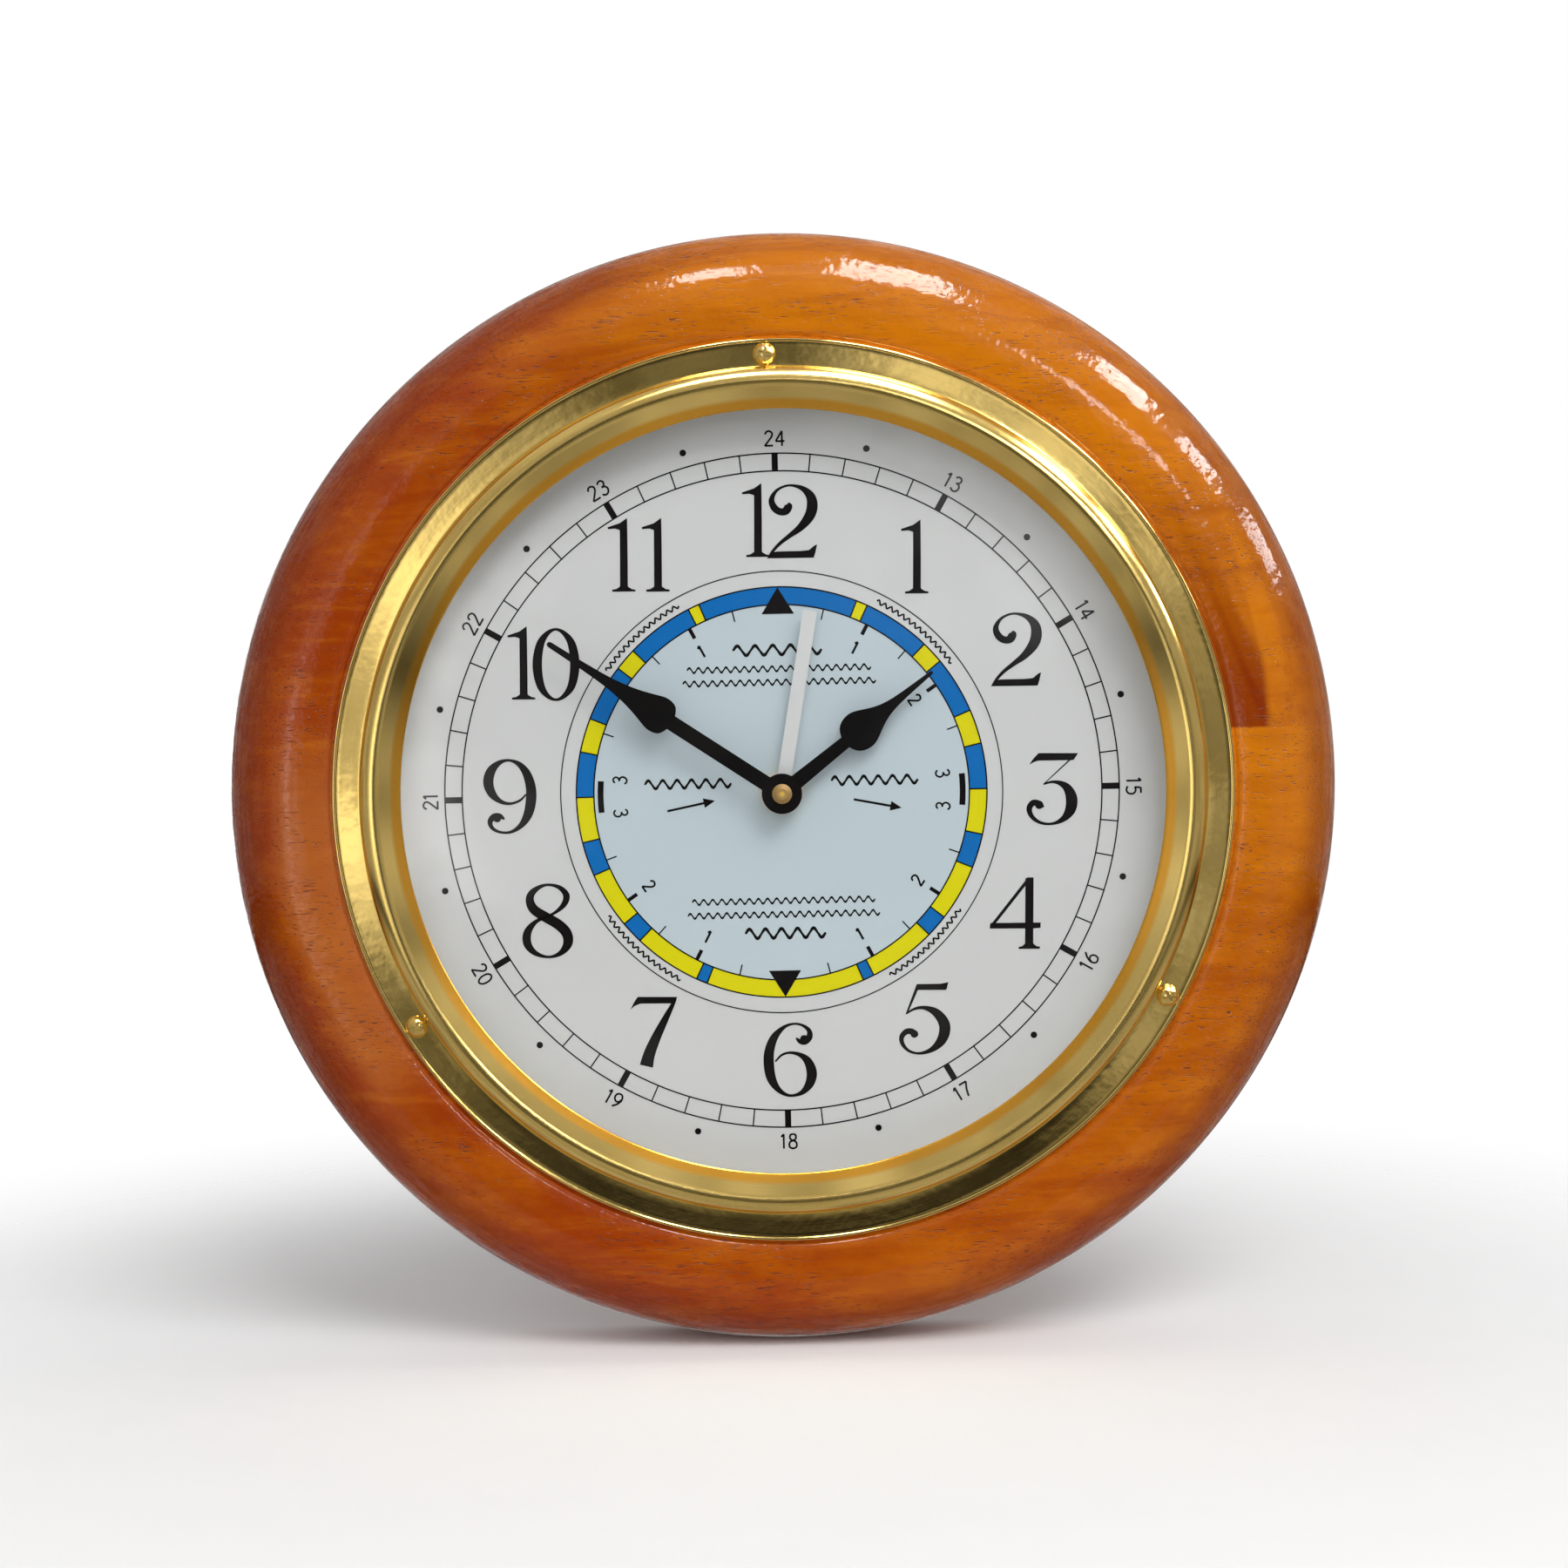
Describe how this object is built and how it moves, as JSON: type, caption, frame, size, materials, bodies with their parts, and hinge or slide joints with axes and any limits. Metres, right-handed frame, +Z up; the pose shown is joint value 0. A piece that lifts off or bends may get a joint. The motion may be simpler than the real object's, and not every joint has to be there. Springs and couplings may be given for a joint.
{
  "type": "tide clock",
  "caption": "Round wall clock for time and tide: turned wooden ring, brass porthole bezel, flat glass, white dial, spade hands and tide hand, quartz movement with real gearing.",
  "frame": {"origin": "centre of the bounding box, which is on the axis of the hands, halfway between the wall and the bezel's crest", "axes": "+X to the right and +Z up on the dial, seen from the front; the dial faces -Y and the wall is at +Y"},
  "size_m": [0.34, 0.0414, 0.34],
  "materials": {
    "varnished_wood": "glossy clear varnish over orange-brown hardwood",
    "polished_brass": "spun and polished",
    "clear_glass": "flat clear",
    "cream_plastic": "satin",
    "white_paint": "satin white paint",
    "black_paint": "satin black paint",
    "black_rubber": "matt",
    "black_plastic": "fine texture",
    "white_plastic": "moulded",
    "grey_plastic": "moulded",
    "battery_jacket": "printed sleeve",
    "nickel_steel": "plated",
    "board_laminate": "solder resist",
    "copper_wire": "enamelled wire"
  },
  "bodies": {
    "case": {"wood_case": "varnished_wood", "brass_bezel": "polished_brass", "bezel_screws": "polished_brass", "glass_lens": "clear_glass", "spacer_ring": "cream_plastic", "dial_plate": "white_paint", "fixing_nut": "polished_brass", "fixing_washer": "polished_brass", "rubber_washer": "black_rubber", "front_case": "black_plastic", "rear_cover": "black_plastic", "middle_plate": "white_plastic", "positive_contact": "nickel_steel", "negative_contact": "nickel_steel", "circuit_board": "board_laminate", "quartz_crystal": "nickel_steel", "coil_winding": "copper_wire", "coil_core": "nickel_steel", "stator": "nickel_steel", "hanger_plate": "nickel_steel", "hanger_screws": "nickel_steel"},
    "cell": {"battery": "battery_jacket"},
    "rotor_body": {"rotor": "grey_plastic"},
    "intermediate_body": {"intermediate_wheel": "white_plastic"},
    "second_body": {"second_wheel": "white_plastic"},
    "third_body": {"third_wheel": "white_plastic"},
    "centre_body": {"centre_wheel": "white_plastic"},
    "minute_body": {"centre_arbor": "nickel_steel", "clutch_spring": "polished_brass", "minute_hand": "black_paint", "hand_nut": "polished_brass"},
    "motion_body": {"minute_wheel": "white_plastic"},
    "hour_body": {"hour_wheel": "white_plastic", "hour_hand": "black_paint"},
    "tide_body": {"tide_wheel": "white_plastic", "tide_hand": "white_paint"},
    "time_knob_body": {"time_set_knob": "grey_plastic"},
    "tide_knob_body": {"tide_set_knob": "grey_plastic"}
  },
  "joints": [
    {"name": "battery_slide", "type": "slide", "parent": "case", "child": "cell", "axis": [0, 1, 0], "range_m": [0, 0.018]},
    {"name": "minute_turn", "type": "hinge", "parent": "case", "child": "minute_body", "pos_m": [0, 0, 0], "axis": [0, 1, 0], "continuous": true},
    {"name": "motion_turn", "type": "hinge", "parent": "case", "child": "motion_body", "pos_m": [-0.0084, 0, 0.0084], "axis": [0, 1, 0], "continuous": true},
    {"name": "hour_turn", "type": "hinge", "parent": "case", "child": "hour_body", "pos_m": [0, 0, 0], "axis": [0, 1, 0], "continuous": true},
    {"name": "tide_turn", "type": "hinge", "parent": "case", "child": "tide_body", "pos_m": [0, 0, 0], "axis": [0, 1, 0], "continuous": true},
    {"name": "time_knob_turn", "type": "hinge", "parent": "case", "child": "time_knob_body", "pos_m": [-0.01799, 0, 0.00583], "axis": [0, 1, 0], "continuous": true},
    {"name": "tide_knob_turn", "type": "hinge", "parent": "case", "child": "tide_knob_body", "pos_m": [0.01181, 0, -0.0043], "axis": [0, 1, 0], "continuous": true},
    {"name": "second_turn", "type": "hinge", "parent": "case", "child": "second_body", "pos_m": [0, 0, 0], "axis": [0, 1, 0], "continuous": true},
    {"name": "rotor_turn", "type": "hinge", "parent": "case", "child": "rotor_body", "pos_m": [-0.0048, 0, 0.01355], "axis": [0, 1, 0], "continuous": true},
    {"name": "intermediate_turn", "type": "hinge", "parent": "case", "child": "intermediate_body", "pos_m": [-0.00611, 0, 0.00611], "axis": [0, 1, 0], "continuous": true},
    {"name": "third_turn", "type": "hinge", "parent": "case", "child": "third_body", "pos_m": [0.00764, 0, 0.00764], "axis": [0, 1, 0], "continuous": true},
    {"name": "centre_turn", "type": "hinge", "parent": "case", "child": "centre_body", "pos_m": [0, 0, 0], "axis": [0, 1, 0], "continuous": true}
  ],
  "couplings": [
    {"joint": "motion_turn", "follows": "minute_turn", "ratio": -0.59375},
    {"joint": "hour_turn", "follows": "minute_turn", "ratio": 0.083333},
    {"joint": "tide_turn", "follows": "minute_turn", "ratio": 0.080508},
    {"joint": "time_knob_turn", "follows": "minute_turn", "ratio": 1.9},
    {"joint": "tide_knob_turn", "follows": "minute_turn", "ratio": -0.39583},
    {"joint": "intermediate_turn", "follows": "second_turn", "ratio": -5},
    {"joint": "rotor_turn", "follows": "second_turn", "ratio": 30},
    {"joint": "third_turn", "follows": "second_turn", "ratio": -0.13333},
    {"joint": "centre_turn", "follows": "second_turn", "ratio": 0.016667}
  ]
}
